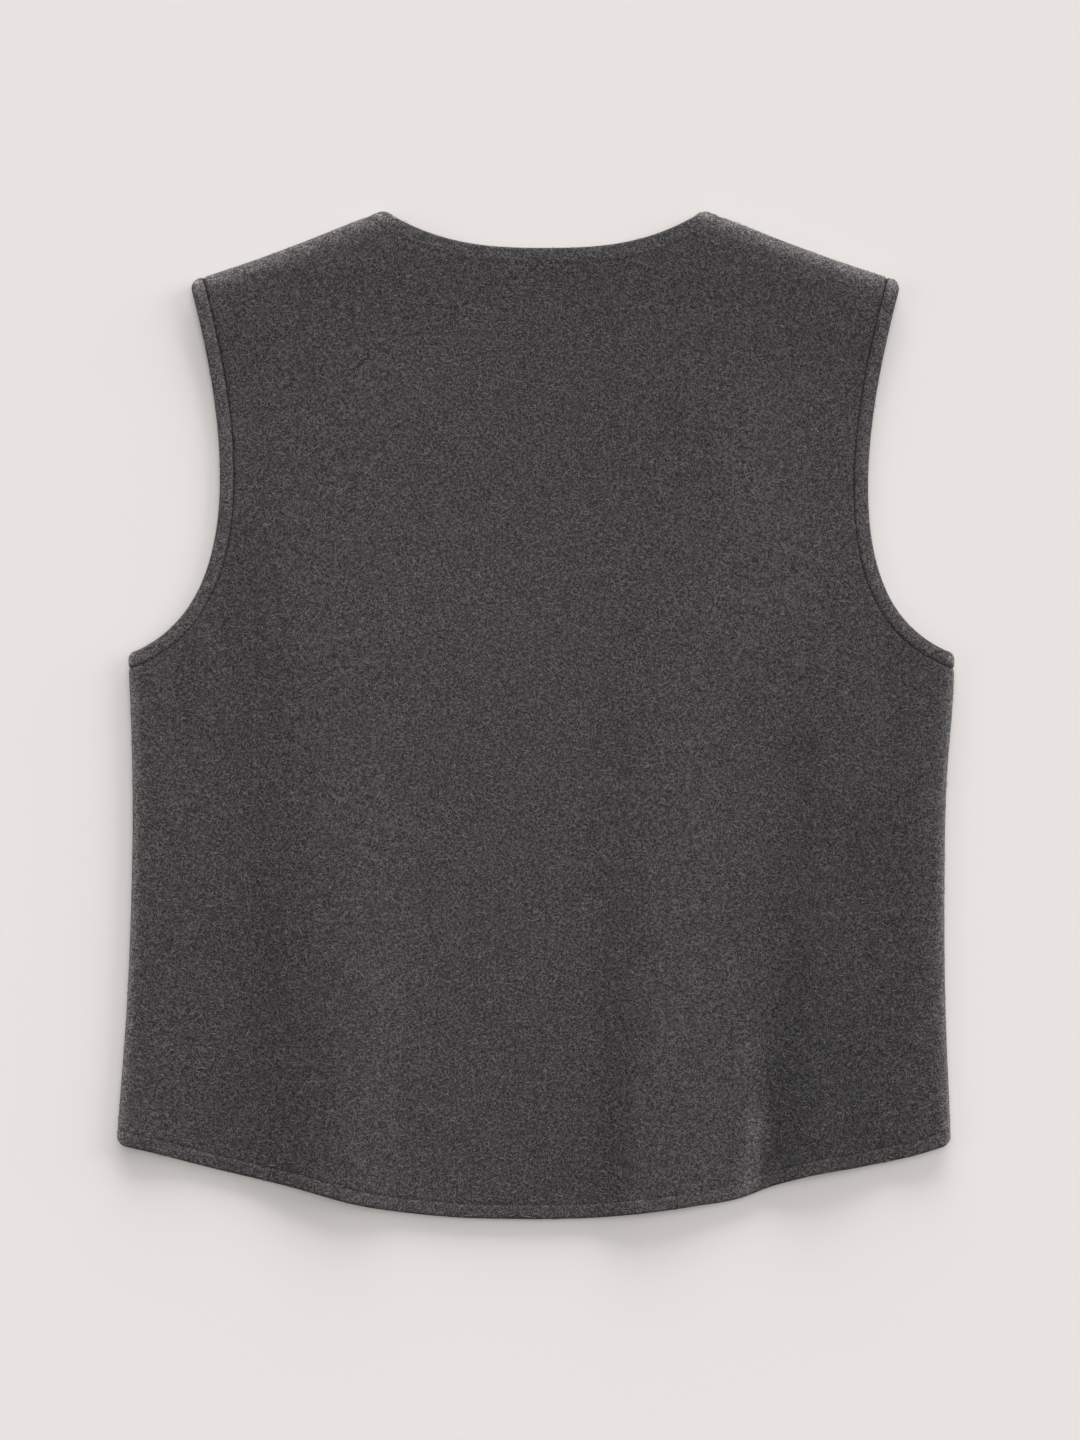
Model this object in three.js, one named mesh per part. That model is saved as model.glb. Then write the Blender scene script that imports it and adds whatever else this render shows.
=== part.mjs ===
// A sleeveless vest of thick felted wool, laid flat on its front with the back up.
// Millimetres. +X runs across it, +Y towards the neck, +Z up from the surface that it lies on.
//
// Every piece is a flat cut that is laid in two layers. A cut point has x and y as seen from above,
// and a layer: the back lies on TOP, the front lies UNDER it. At the side and shoulder folds the
// cloth rolls over from one layer to the other, so both layers meet on the fold line.
import * as THREE from 'three';

// Cloth and seams
const WALL = 2.5;
const SEAM_GAP = 0.3;
const LAYER_GAP = 0.6;
const SEAM_DEPTH = 12; // side and shoulder seams, in from the folds, on the underside
const ARMHOLE_BAND = 8.5;
const NECK_BAND = 9.4;
const HEM_BAND = 8.6;
const TURNED_EDGE = 0.9; // reach of the rounded free edge of a band

// The roll at the folds, and how far in from it the back has sunk to its lie
const ROLL_HEIGHT = 9.2;
const ROLL_DEPTH = 4.6;
const SIDE_REACH = 45;
const SHOULDER_REACH = 80;

// Outline. Half widths are taken from the middle line of the vest.
const TOP = 1;
const UNDER = -1;
const SIDE = [
  { y: -252, half: 250.2 },
  { y: -165, half: 245.4 },
  { y: -80, half: 243.9 },
  { y: -20, half: 244.9 },
  { y: 38, half: 247.8 },
];
const SHOULDER = { neckX: 98.4, neckY: 302.5, tipX: 212.8, tipY: 259.8, sag: 1.8 };
const BACK_NECK = { bottom: 280.7, half: 96.5, rise: 22.5, power: 2.75 };
const FRONT_NECK = { point: [0, 128], bow: [56, 214], shoulder: [96.5, 303.2] };
const BACK_ARMHOLE = {
  tip: [213.2, 258.6],
  chest: [198.4, 202.3],
  scoop: [167.4, 67.8],
  underarm: [246.6, 37.2],
};
const FRONT_ARMHOLE = {
  tip: [213.2, 258.6],
  chest: [188, 198],
  scoop: [158, 67],
  underarm: [246.6, 37.2],
};
const BACK_HEM = [
  { x: 0, y: -302.5 },
  { x: 50, y: -301.1 },
  { x: 100, y: -295 },
  { x: 150, y: -281.8 },
  { x: 200, y: -270.2 },
  { x: 250, y: -256.9 },
];
const FRONT_HEM = [
  { x: 0, y: -279 },
  { x: 100, y: -274 },
  { x: 200, y: -263 },
  { x: 250, y: -256.9 },
];

// The middle line isn't quite straight, because the vest lies a little askew.
const MIDDLE_LINE = [
  { y: -303, x: -1.9 },
  { y: -100, x: 1.5 },
  { y: 40, x: 3.2 },
  { y: 130, x: 4.9 },
  { y: 250, x: 5.8 },
  { y: 303, x: 5 },
];

// Soft folds in the back: each has its full height at the hem's level, where it stands at crest.
// It runs up from there, shifts by lean and dies out at fade.
const HEM_LEVEL = -260;
const SOFT_FOLDS = [
  { crest: -121, lean: 10, left: 58, right: 44, height: 4.9, fade: 110 },
  { crest: 64, lean: -8, left: 30, right: 70, height: 5, fade: 10 },
  { crest: 168, lean: 4, left: 33, right: 58, height: 5.6, fade: -20 },
];

// Steps away from a fold, and the number of even cells between the steps at a line's two ends
const FOLD_STEPS = [0, 1.5, 3, ROLL_DEPTH, SEAM_DEPTH + SEAM_GAP, 26];
const FLAP_STEPS = [0, 1.5, 3, ROLL_DEPTH, SEAM_DEPTH];
const CELLS = { armhole: 11, backNeck: 3, shoulder: 3, hem: 11, side: 8, frontNeck: 7, frontShoulder: 4 };
const CURVE_SAMPLES = 400;
const OVERRUN = 0.05; // part of a curve's half that runs on past its end, to be trimmed at a fold
const RUN_ON = 3; // band widths by which the curve is run on straight before it is trimmed
const CLEAR_SAMPLES = 6; // least spacing of a panel's end point from the next one on its seam
const SLOPE_STEP = 0.5;
const MEETS = 1e-5;
const SAME_POINT = 0.05;

const WOOL = { color: 0x464344, roughness: 0.95, metalness: 0 };
const BAND_WOOL = { color: 0x4c494a, roughness: 0.92, metalness: 0 };

// Value of a column at a place along a table, on a smooth curve through its rows
function read(table, key, column, place) {
  const last = table.length - 2;
  let row = table.findIndex((entry) => entry[key] > place) - 1;
  if (row < 0) row = place < table[0][key] ? 0 : last;
  const slope = (i) => {
    const before = table[Math.max(i - 1, 0)];
    const after = table[Math.min(i + 1, table.length - 1)];
    return (after[column] - before[column]) / (after[key] - before[key]);
  };
  const [a, b] = [table[row], table[row + 1]];
  const span = b[key] - a[key];
  const t = (place - a[key]) / span;
  if (t < 0) return a[column] + slope(row) * (place - a[key]);
  if (t > 1) return b[column] + slope(row + 1) * (place - b[key]);
  return a[column] * (1 + 2 * t) * (1 - t) ** 2
    + b[column] * t * t * (3 - 2 * t)
    + span * (slope(row) * t * (1 - t) ** 2 - slope(row + 1) * t * t * (1 - t));
}

// Depths inwards from the fold lines, which lie at the middle of the cloth's thickness, and from
// the middle line. All three are for the right half of the vest.
const SHOULDER_RUN = [SHOULDER.tipX - SHOULDER.neckX, SHOULDER.tipY - SHOULDER.neckY];
const SHOULDER_LENGTH = Math.hypot(...SHOULDER_RUN);
const SHOULDER_IN = [SHOULDER_RUN[1] / SHOULDER_LENGTH, -SHOULDER_RUN[0] / SHOULDER_LENGTH];

function sideDepth([x, y]) {
  return read(SIDE, 'y', 'half', y) - WALL / 2 - x;
}

function shoulderDepth([x, y]) {
  const [fromX, fromY] = [x - SHOULDER.neckX, y - SHOULDER.neckY];
  const part = (fromX * SHOULDER_RUN[0] + fromY * SHOULDER_RUN[1]) / SHOULDER_LENGTH ** 2;
  const hollow = 4 * SHOULDER.sag * Math.max(0, part * (1 - part));
  return fromX * SHOULDER_IN[0] + fromY * SHOULDER_IN[1] - hollow - WALL / 2;
}

function middleDepth([x]) {
  return x;
}

function foldAt(x, y) {
  const side = { depth: sideDepth([Math.abs(x), y]), inX: -1, inY: 0 };
  const shoulder = { depth: shoulderDepth([Math.abs(x), y]), inX: SHOULDER_IN[0], inY: SHOULDER_IN[1] };
  return side.depth < shoulder.depth ? side : shoulder;
}

// Heights of the middle of the cloth: in the under layer, over the roll and in the back's lie
const REST_UNDER = WALL / 2;
const REST_TOP = WALL + LAYER_GAP + WALL / 2;
const ROLL_TOP = ROLL_HEIGHT - WALL / 2;
const ROLL_RISE = (ROLL_TOP - REST_UNDER) / 2;

function softFolds(x, y) {
  let height = 0;
  for (const fold of SOFT_FOLDS) {
    const grown = THREE.MathUtils.smoothstep(fold.fade - y, 0, fold.fade - HEM_LEVEL);
    const crest = fold.crest + fold.lean * (1 - grown);
    const t = Math.min(1, Math.abs(x - crest) / (x < crest ? fold.left : fold.right));
    height += fold.height * grown * (1 - t * t) ** 2;
  }
  return height;
}

function topHeight(x, y) {
  const place = [Math.abs(x), y];
  const fromSide = THREE.MathUtils.smoothstep(sideDepth(place) - ROLL_DEPTH, 0, SIDE_REACH);
  const fromShoulder = THREE.MathUtils.smoothstep(shoulderDepth(place) - ROLL_DEPTH, 0, SHOULDER_REACH);
  return THREE.MathUtils.lerp(ROLL_TOP, REST_TOP + softFolds(x, y), fromSide * fromShoulder);
}

// Lay a point of the cut, and move it out of the middle of the cloth by offset
function lay({ x, y, layer }, offset) {
  const fold = foldAt(x, y);
  const place = new THREE.Vector3(x, y, REST_UNDER);
  const out = new THREE.Vector3(0, 0, -1);
  if (fold.depth < ROLL_DEPTH) {
    const turn = layer * Math.max(fold.depth, 0) / ROLL_DEPTH * Math.PI / 2;
    const inward = new THREE.Vector3(fold.inX * Math.sign(x), fold.inY, 0);
    place.addScaledVector(inward, ROLL_DEPTH * (1 - Math.cos(turn)) - fold.depth);
    place.z = REST_UNDER + ROLL_RISE * (1 + Math.sin(turn));
    out.copy(inward).multiplyScalar(-Math.cos(turn) * ROLL_RISE);
    out.z = Math.sin(turn) * ROLL_DEPTH;
  } else if (layer === TOP) {
    place.z = topHeight(x, y);
    out.set(place.z - topHeight(x + SLOPE_STEP, y), place.z - topHeight(x, y + SLOPE_STEP), SLOPE_STEP);
  }
  place.addScaledVector(out.normalize(), offset);
  place.x += read(MIDDLE_LINE, 'y', 'x', place.y);
  return place;
}

// Lines of the cut are lists of [x, y] on the right half, with the cloth on their right as they run.
// A place on a line is an index with a fraction.
function pointAt(line, index) {
  const i = Math.min(Math.floor(index), line.length - 2);
  return mix(line[i], line[i + 1], index - i);
}

function mix(from, to, part) {
  return from.map((value, k) => value + (to[k] - value) * part);
}

// Where a line first reaches a depth, halved in on from the step that crosses it
function crossing(line, depthOf, depth) {
  const gap = (index) => depthOf(pointAt(line, index)) - depth;
  const gaps = line.map((_, i) => gap(i));
  const met = gaps.findIndex((value, i) => Math.abs(value) < MEETS || value * gaps[i + 1] < 0);
  if (met < 0) throw new Error('The line never reaches that depth');
  if (Math.abs(gaps[met]) < MEETS) return met;
  let [low, high] = [met, met + 1];
  while (high - low > MEETS / CURVE_SAMPLES) {
    const halfway = (low + high) / 2;
    if (gap(halfway) * gaps[met] > 0) low = halfway;
    else high = halfway;
  }
  return high;
}

function distances(line) {
  const run = [0];
  for (let i = 1; i < line.length; i += 1) {
    run.push(run[i - 1] + Math.hypot(line[i][0] - line[i - 1][0], line[i][1] - line[i - 1][1]));
  }
  return run;
}

function indexAt(line, fraction) {
  const run = distances(line);
  const goal = fraction * run.at(-1);
  const i = Math.max(1, run.findIndex((value) => value >= goal - 1e-9));
  return i - 1 + (goal - run[i - 1]) / (run[i] - run[i - 1]);
}

function extended(line, by) {
  const before = (end, next) => mix(next, end, 1 + by / Math.hypot(end[0] - next[0], end[1] - next[1]));
  return [before(line[0], line[1]), ...line, before(line.at(-1), line.at(-2))];
}

function shifted(line, by) {
  return line.map((point, i) => {
    const before = line[Math.max(i - 1, 0)];
    const after = line[Math.min(i + 1, line.length - 1)];
    const run = [after[0] - before[0], after[1] - before[1]];
    const length = Math.hypot(...run);
    return [point[0] + run[1] / length * by, point[1] - run[0] / length * by];
  });
}

function trimmed(line, startDepth, endDepth) {
  const [start, end] = [crossing(line, startDepth, 0), crossing(line, endDepth, 0)];
  return [pointAt(line, start), ...line.filter((_, i) => i > start && i < end), pointAt(line, end)];
}

function sampled(pointOf) {
  return Array.from({ length: CURVE_SAMPLES + 1 }, (_, i) => pointOf(i / CURVE_SAMPLES));
}

// Fractions of a line's length: close steps at an end on a fold, even cells in between
function spaced(line, cells, startSteps, endSteps) {
  const length = distances(line).at(-1);
  const [from, to] = [startSteps.at(-1), length - endSteps.at(-1)];
  const even = Array.from({ length: cells - 1 }, (_, i) => from + (to - from) * (i + 1) / cells);
  const back = endSteps.map((step) => length - step).reverse();
  return [...startSteps, ...even, ...back].map((step) => step / length);
}

// A band has a free edge and a sewn edge. The panel ends on the seam line, across the gap.
function bandLines(edge, width, startDepth, endDepth, cells, startSteps, endSteps) {
  const long = extended(edge, RUN_ON * width);
  const [free, sewn, seam] = [0, width, width + SEAM_GAP]
    .map((by) => trimmed(shifted(long, by), startDepth, endDepth));
  return { free, sewn, seam, steps: spaced(seam, cells, startSteps, endSteps) };
}

function seamPoints(lines) {
  return lines.steps.map((step) => pointAt(lines.seam, indexAt(lines.seam, step)));
}

// The seam line's points between a depth near its start and a depth near its end
function seamBetween(lines, [startOf, start], [endOf, end]) {
  const [first, last] = [crossing(lines.seam, startOf, start), crossing(lines.seam, endOf, end)];
  const inner = lines.steps
    .map((step) => indexAt(lines.seam, step))
    .filter((index) => index > first + CLEAR_SAMPLES && index < last - CLEAR_SAMPLES);
  return [first, ...inner, last].map((index) => pointAt(lines.seam, index));
}

function vectors(points) {
  return points.map((point) => new THREE.Vector2(...point));
}

function armholeEdge(cut) {
  const curve = new THREE.CubicBezierCurve(...vectors([cut.tip, cut.chest, cut.scoop, cut.underarm]));
  return sampled((t) => curve.getPoint(t).toArray());
}

function hemEdge(table) {
  const widest = table.at(-1).x;
  return sampled((t) => {
    const x = widest * (1 + OVERRUN - (1 + 2 * OVERRUN) * t);
    return [x, read(table, 'x', 'y', Math.abs(x))];
  });
}

function backNeckEdge() {
  return sampled((t) => {
    const part = (1 + 2 * OVERRUN) * t - OVERRUN;
    const rise = BACK_NECK.rise * Math.abs(part) ** BACK_NECK.power;
    return [BACK_NECK.half * part, BACK_NECK.bottom + rise];
  });
}

function frontNeckEdge() {
  const { point, bow, shoulder } = FRONT_NECK;
  const curve = new THREE.QuadraticBezierCurve(...vectors([point, bow, shoulder]));
  return sampled((t) => curve.getPoint(t).toArray());
}

// The front's lines end on the folds just where the back's do.
function meeting(front, back, { atStart, atEnd }) {
  const ended = (line, other) => [
    atStart ? other[0] : line[0],
    ...line.slice(1, -1),
    atEnd ? other.at(-1) : line.at(-1),
  ];
  return {
    free: ended(front.free, back.free),
    sewn: ended(front.sewn, back.sewn),
    seam: ended(front.seam, back.seam),
    steps: front.steps,
  };
}

function armholeLines(cut) {
  return bandLines(
    armholeEdge(cut), ARMHOLE_BAND, shoulderDepth, sideDepth, CELLS.armhole, FOLD_STEPS, FOLD_STEPS,
  );
}

function neckLines(edge, cells) {
  return bandLines(edge, NECK_BAND, middleDepth, shoulderDepth, cells, [0], FOLD_STEPS);
}

function hemLines(table) {
  return bandLines(hemEdge(table), HEM_BAND, sideDepth, middleDepth, CELLS.hem, FOLD_STEPS, [0]);
}

const backArmhole = armholeLines(BACK_ARMHOLE);
const frontArmhole = meeting(armholeLines(FRONT_ARMHOLE), backArmhole, { atStart: true, atEnd: true });
const backNeck = neckLines(backNeckEdge(), CELLS.backNeck);
const frontNeck = meeting(neckLines(frontNeckEdge(), CELLS.frontNeck), backNeck, { atEnd: true });
const backHem = hemLines(BACK_HEM);
const frontHem = meeting(hemLines(FRONT_HEM), backHem, { atStart: true });

// Points along the fold lines, or at a depth from them
function besideSide(fromY, toY, depth) {
  return Array.from({ length: CELLS.side + 1 }, (_, i) => {
    const y = fromY + (toY - fromY) * i / CELLS.side;
    return [sideDepth([0, y]) - depth, y];
  });
}

function besideShoulder(from, to, depth, parts) {
  return parts.map((part) => {
    const point = mix(from, to, part);
    const move = depth - shoulderDepth(point);
    return [point[0] + SHOULDER_IN[0] * move, point[1] + SHOULDER_IN[1] * move];
  });
}

// A grid of cut points between four edges that share their corners
function patch(layer, bottom, top, left, right) {
  const [width, height] = [bottom.length - 1, left.length - 1];
  const across = distances(bottom).map((run, i, all) => (i === width ? 1 : run / all.at(-1)));
  const up = distances(left).map((run, j, all) => (j === height ? 1 : run / all.at(-1)));
  return up.map((v, j) => across.map((u, i) => {
    const [x, y] = [0, 1].map((k) => mix(bottom[i], top[i], v)[k] + mix(left[j], right[j], u)[k]
      - mix(mix(bottom[0], bottom[width], u), mix(top[0], top[width], u), v)[k]);
    return { x, y, layer };
  }));
}

function mirrored(points) {
  return points.map(([x, y]) => [-x, y]);
}

// A whole edge from the half that runs out from the middle
function wholeEdge(half) {
  return [...mirrored(half.slice(1)).reverse(), ...half];
}

// Two triangles for four corners, across the shorter diagonal
function split(places, a, b, c, d) {
  const across = places[a].distanceTo(places[c]) < places[b].distanceTo(places[d]);
  return across ? [[a, b, c], [a, c, d]] : [[a, b, d], [b, c, d]];
}

function finish(name, vertices, triangles, wool) {
  const [a, b, c] = [new THREE.Vector3(), new THREE.Vector3(), new THREE.Vector3()];
  const volume = triangles.reduce((sum, [i, j, k]) => (
    sum + a.copy(vertices[i]).dot(b.copy(vertices[j]).cross(c.copy(vertices[k])))
  ), 0);
  const outward = volume > 0 ? triangles : triangles.map(([i, j, k]) => [i, k, j]);
  const geometry = new THREE.BufferGeometry();
  const numbers = vertices.flatMap((vertex) => vertex.toArray());
  geometry.setAttribute('position', new THREE.Float32BufferAttribute(numbers, 3));
  geometry.setIndex(outward.flat());
  geometry.computeVertexNormals();
  const mesh = new THREE.Mesh(geometry, new THREE.MeshStandardMaterial(wool));
  mesh.name = name;
  return mesh;
}

// A panel: its patches joined at their shared points, given both faces and closed round the rim
function panel(name, patches, wool) {
  const points = [];
  const places = [];
  const indexOf = (point) => {
    const place = lay(point, 0);
    const known = places.findIndex((other) => other.distanceTo(place) < SAME_POINT);
    if (known >= 0) return known;
    places.push(place);
    return points.push(point) - 1;
  };
  const outer = [];
  for (const grid of patches) {
    const index = grid.map((row) => row.map(indexOf));
    for (let j = 1; j < index.length; j += 1) {
      for (let i = 1; i < index[j].length; i += 1) {
        const [a, b] = [index[j - 1][i - 1], index[j - 1][i]];
        const [c, d] = [index[j][i], index[j][i - 1]];
        outer.push(...split(places, a, b, c, d));
      }
    }
  }
  const count = points.length;
  const edges = new Set(outer.flatMap(([a, b, c]) => [`${a},${b}`, `${b},${c}`, `${c},${a}`]));
  const rim = [...edges]
    .map((edge) => edge.split(',').map(Number))
    .filter(([a, b]) => !edges.has(`${b},${a}`))
    .flatMap(([a, b]) => [[b, a, a + count], [b, a + count, b + count]]);
  const inner = outer.map(([a, b, c]) => [a + count, c + count, b + count]);
  const faces = [WALL / 2, -WALL / 2].flatMap((offset) => points.map((point) => lay(point, offset)));
  return finish(name, faces, [...outer, ...inner, ...rim], wool);
}

// A band's section: part of its width from the free edge, and offset from the middle of the cloth.
// Its free edge is turned round, with a flat of two fifths of the wall.
function bandSection(width) {
  return [
    { part: 0, offset: -WALL / 5 },
    { part: 0, offset: WALL / 5 },
    { part: TURNED_EDGE / width, offset: WALL / 2 },
    { part: 1, offset: WALL / 2 },
    { part: 1, offset: -WALL / 2 },
    { part: TURNED_EDGE / width, offset: -WALL / 2 },
  ];
}

function stations(lines, layer) {
  return lines.steps.map((step) => ({
    free: pointAt(lines.free, indexAt(lines.free, step)),
    sewn: pointAt(lines.sewn, indexAt(lines.sewn, step)),
    layer,
  }));
}

function mirroredStations(list) {
  return list.map(({ free, sewn, layer }) => ({
    free: mirrored([free])[0],
    sewn: mirrored([sewn])[0],
    layer,
  }));
}

// Runs that follow each other round a loop, each without the station that it shares with the next
function loop(...runs) {
  return runs.flatMap((run) => run.slice(0, -1));
}

function band(name, round, width, wool) {
  const section = bandSection(width);
  const vertices = round.flatMap(({ free, sewn, layer }) => section.map(({ part, offset }) => {
    const [x, y] = mix(free, sewn, part);
    return lay({ x, y, layer }, offset);
  }));
  const triangles = [];
  const sides = section.length;
  for (let i = 0; i < round.length; i += 1) {
    const [here, next] = [i * sides, ((i + 1) % round.length) * sides];
    for (let k = 0; k < sides; k += 1) {
      const after = (k + 1) % sides;
      triangles.push(...split(vertices, here + k, next + k, next + after, here + after));
    }
  }
  return finish(name, vertices, triangles, wool);
}

function turnedOver(grid) {
  return grid.map((row) => row.map(({ x, y, layer }) => ({ x: -x, y, layer })).reverse());
}

// Back panel: the whole back, with the flaps that roll under it as far as the seams
function backPanel() {
  const neck = seamPoints(backNeck);
  const armhole = seamPoints(backArmhole).reverse();
  const hem = seamPoints(backHem).reverse();
  const fold = besideSide(hem.at(-1)[1], armhole[0][1], 0);
  const parts = spaced([neck.at(-1), armhole.at(-1)], CELLS.shoulder, [0], FOLD_STEPS);
  const shoulder = besideShoulder(neck.at(-1), armhole.at(-1), 0, parts);
  const right = [...fold.slice(0, -1), ...armhole];
  const main = patch(
    TOP, wholeEdge(hem), wholeEdge([...neck.slice(0, -1), ...shoulder]), mirrored(right), right,
  );

  const flapEdge = (lines, depthOf) => FLAP_STEPS.map((depth) => (
    pointAt(lines.seam, crossing(lines.seam, depthOf, depth))
  ));
  const flapHem = flapEdge(frontHem, sideDepth);
  const flapUnderarm = flapEdge(frontArmhole, sideDepth);
  const sideSeam = besideSide(flapHem.at(-1)[1], flapUnderarm.at(-1)[1], SEAM_DEPTH);
  const rightFlap = patch(UNDER, flapHem, flapUnderarm, fold, sideSeam);

  const flapNeck = flapEdge(frontNeck, shoulderDepth);
  const flapTip = flapEdge(frontArmhole, shoulderDepth);
  const shoulderSeam = besideShoulder(flapNeck.at(-1), flapTip.at(-1), SEAM_DEPTH, parts);
  const topFlap = patch(UNDER, shoulder, shoulderSeam, flapNeck, flapTip);

  const flaps = [rightFlap, turnedOver(rightFlap), topFlap, turnedOver(topFlap)];
  return panel('back_panel', [main, ...flaps], WOOL);
}

// Front panel: plain, with a V neck, between the side and shoulder seams on the underside
function frontPanel() {
  const beyond = SEAM_DEPTH + SEAM_GAP;
  const neck = seamBetween(frontNeck, [middleDepth, 0], [shoulderDepth, beyond]);
  const armhole = seamBetween(frontArmhole, [shoulderDepth, beyond], [sideDepth, beyond]).reverse();
  const columns = neck.length - 1 + CELLS.frontShoulder;
  const hemStart = crossing(frontHem.seam, sideDepth, beyond);
  const hemEnd = frontHem.seam.length - 1;
  const hem = Array.from({ length: columns + 1 }, (_, i) => (
    pointAt(frontHem.seam, hemEnd + (hemStart - hemEnd) * i / columns)
  ));
  const side = besideSide(hem.at(-1)[1], armhole[0][1], beyond);
  const parts = Array.from({ length: CELLS.frontShoulder + 1 }, (_, i) => i / CELLS.frontShoulder);
  const shoulder = besideShoulder(neck.at(-1), armhole.at(-1), beyond, parts);
  const right = [...side.slice(0, -1), ...armhole];
  const main = patch(
    UNDER, wholeEdge(hem), wholeEdge([...neck.slice(0, -1), ...shoulder]), mirrored(right), right,
  );
  return panel('front_panel', [main], WOOL);
}

function armholeBand(name, turn) {
  const back = turn(stations(backArmhole, TOP));
  const front = turn(stations(frontArmhole, UNDER));
  return band(name, loop(back, front.reverse()), ARMHOLE_BAND, BAND_WOOL);
}

// Bands that cross the middle line: out on the right side's back, in on its front, and so on round
function roundBand(name, backOut, frontOut, width) {
  const frontIn = frontOut.toReversed();
  const leftFrontOut = mirroredStations(frontOut);
  const leftBackIn = mirroredStations(backOut).reverse();
  return band(name, loop(backOut, frontIn, leftFrontOut, leftBackIn), width, BAND_WOOL);
}

function neckBand() {
  return roundBand('neck_band', stations(backNeck, TOP), stations(frontNeck, UNDER), NECK_BAND);
}

function hemBand() {
  const [back, front] = [stations(backHem, TOP), stations(frontHem, UNDER)];
  return roundBand('hem_band', back.reverse(), front.reverse(), HEM_BAND);
}

const vest = new THREE.Group();
vest.add(
  backPanel(),
  frontPanel(),
  armholeBand('armhole_band_left', mirroredStations),
  armholeBand('armhole_band_right', (list) => list),
  neckBand(),
  hemBand(),
);

// The origin is the middle of the vest's box, on the surface that it lies on.
const middle = new THREE.Box3().setFromObject(vest).getCenter(new THREE.Vector3());
vest.position.set(-middle.x, -middle.y, 0);

export default vest;
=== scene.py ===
"""A sleeveless vest of thick felted wool, laid flat on its front with the back up.

Metres. +X runs across the vest, +Y towards the neck, +Z up from the surface that it lies on.
"""

import math

import bpy
import numpy as np
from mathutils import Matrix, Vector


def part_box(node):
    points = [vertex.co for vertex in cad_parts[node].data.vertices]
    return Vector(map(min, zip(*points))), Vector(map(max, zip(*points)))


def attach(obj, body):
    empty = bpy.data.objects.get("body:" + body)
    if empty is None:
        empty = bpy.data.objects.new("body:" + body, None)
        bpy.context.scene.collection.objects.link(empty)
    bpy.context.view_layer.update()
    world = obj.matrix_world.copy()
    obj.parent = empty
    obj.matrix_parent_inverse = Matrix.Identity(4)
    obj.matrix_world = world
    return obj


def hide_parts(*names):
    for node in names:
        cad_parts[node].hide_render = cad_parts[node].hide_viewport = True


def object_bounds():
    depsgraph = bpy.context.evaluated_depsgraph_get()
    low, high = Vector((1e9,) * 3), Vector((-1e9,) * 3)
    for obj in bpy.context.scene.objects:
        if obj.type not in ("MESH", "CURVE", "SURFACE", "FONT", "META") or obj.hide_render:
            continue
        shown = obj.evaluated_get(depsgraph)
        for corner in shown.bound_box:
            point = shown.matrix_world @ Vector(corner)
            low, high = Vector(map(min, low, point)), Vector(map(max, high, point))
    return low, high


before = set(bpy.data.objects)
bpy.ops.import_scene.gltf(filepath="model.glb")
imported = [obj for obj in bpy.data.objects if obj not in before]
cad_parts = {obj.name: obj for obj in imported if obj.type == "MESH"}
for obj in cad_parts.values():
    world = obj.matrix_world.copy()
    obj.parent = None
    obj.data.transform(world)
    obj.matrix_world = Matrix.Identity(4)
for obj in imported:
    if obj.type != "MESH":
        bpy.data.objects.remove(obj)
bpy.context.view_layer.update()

# ------------------------------------------------------------------------------------------------
# Back panel. One cut of felted wool that is the whole back. It rolls round the side and shoulder
# folds and ends at the seams on the underside, so nothing of the side seams shows from above.
# ------------------------------------------------------------------------------------------------
MM = 0.001
WALL = 2.5 * MM
LAYER_GAP = 0.6 * MM
SEAM_GAP = 0.12 * MM
SEAM_DEPTH = 12 * MM
ARMHOLE_BAND = 8.5 * MM
NECK_BAND = 9.4 * MM
HEM_BAND = 8.6 * MM
ROLL_HEIGHT = 9.2 * MM
ROLL_DEPTH = 4.6 * MM
TOP, UNDER = 1, -1

# The cut lies in two layers. Its outline is given for the right half, from the vest's middle line.
SIDE = np.array([(-252, 250.2), (-165, 245.4), (-80, 243.9), (-20, 244.9), (38, 247.8)]) * MM
SHOULDER_NECK = np.array((98.4, 302.5)) * MM
SHOULDER_TIP = np.array((212.8, 259.8)) * MM
SHOULDER_SAG = 1.8 * MM
MIDDLE_LINE = np.array([(-303, -1.9), (-100, 1.5), (40, 3.2), (130, 4.9), (250, 5.8), (303, 5)]) * MM
BACK_HEM = np.array([
    (0, -302.5), (50, -301.1), (100, -295), (150, -281.8), (200, -270.2), (250, -256.9),
]) * MM
BACK_NECK = {"bottom": 280.7 * MM, "half": 96.5 * MM, "rise": 22.5 * MM, "power": 2.75}
BACK_ARMHOLE = np.array([(213.2, 258.6), (198.4, 202.3), (167.4, 67.8), (246.6, 37.2)]) * MM
SAMPLES = 1200
OVERRUN = 0.05

# Soft folds, which have their full height at the hem's level and fade on their way up
HEM_LEVEL = -260 * MM
SOFT_FOLDS = [
    {"crest": -121, "lean": 10, "left": 58, "right": 44, "height": 4.9, "fade": 110},
    {"crest": 64, "lean": -8, "left": 30, "right": 70, "height": 5, "fade": 10},
    {"crest": 168, "lean": 4, "left": 33, "right": 58, "height": 5.6, "fade": -20},
]
SIDE_REACH = 45 * MM
SHOULDER_REACH = 80 * MM

# Shallow creases of the back, in millimetres. Each runs from one point to another, fades within
# its width on both sides, and raises the cloth by its height.
CREASES = [
    ((129, -200), (131, -250), 6, 0.3),
    ((132, -245), (128, -292), 6, 0.9),
    ((224, 45), (222, -110), 12, 1),
    ((-206, 45), (-203, -5), 12, 1),
    ((-120, 200), (-150, 60), 30, 0.8),
    ((95, 215), (150, 40), 30, 0.8),
]
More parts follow.
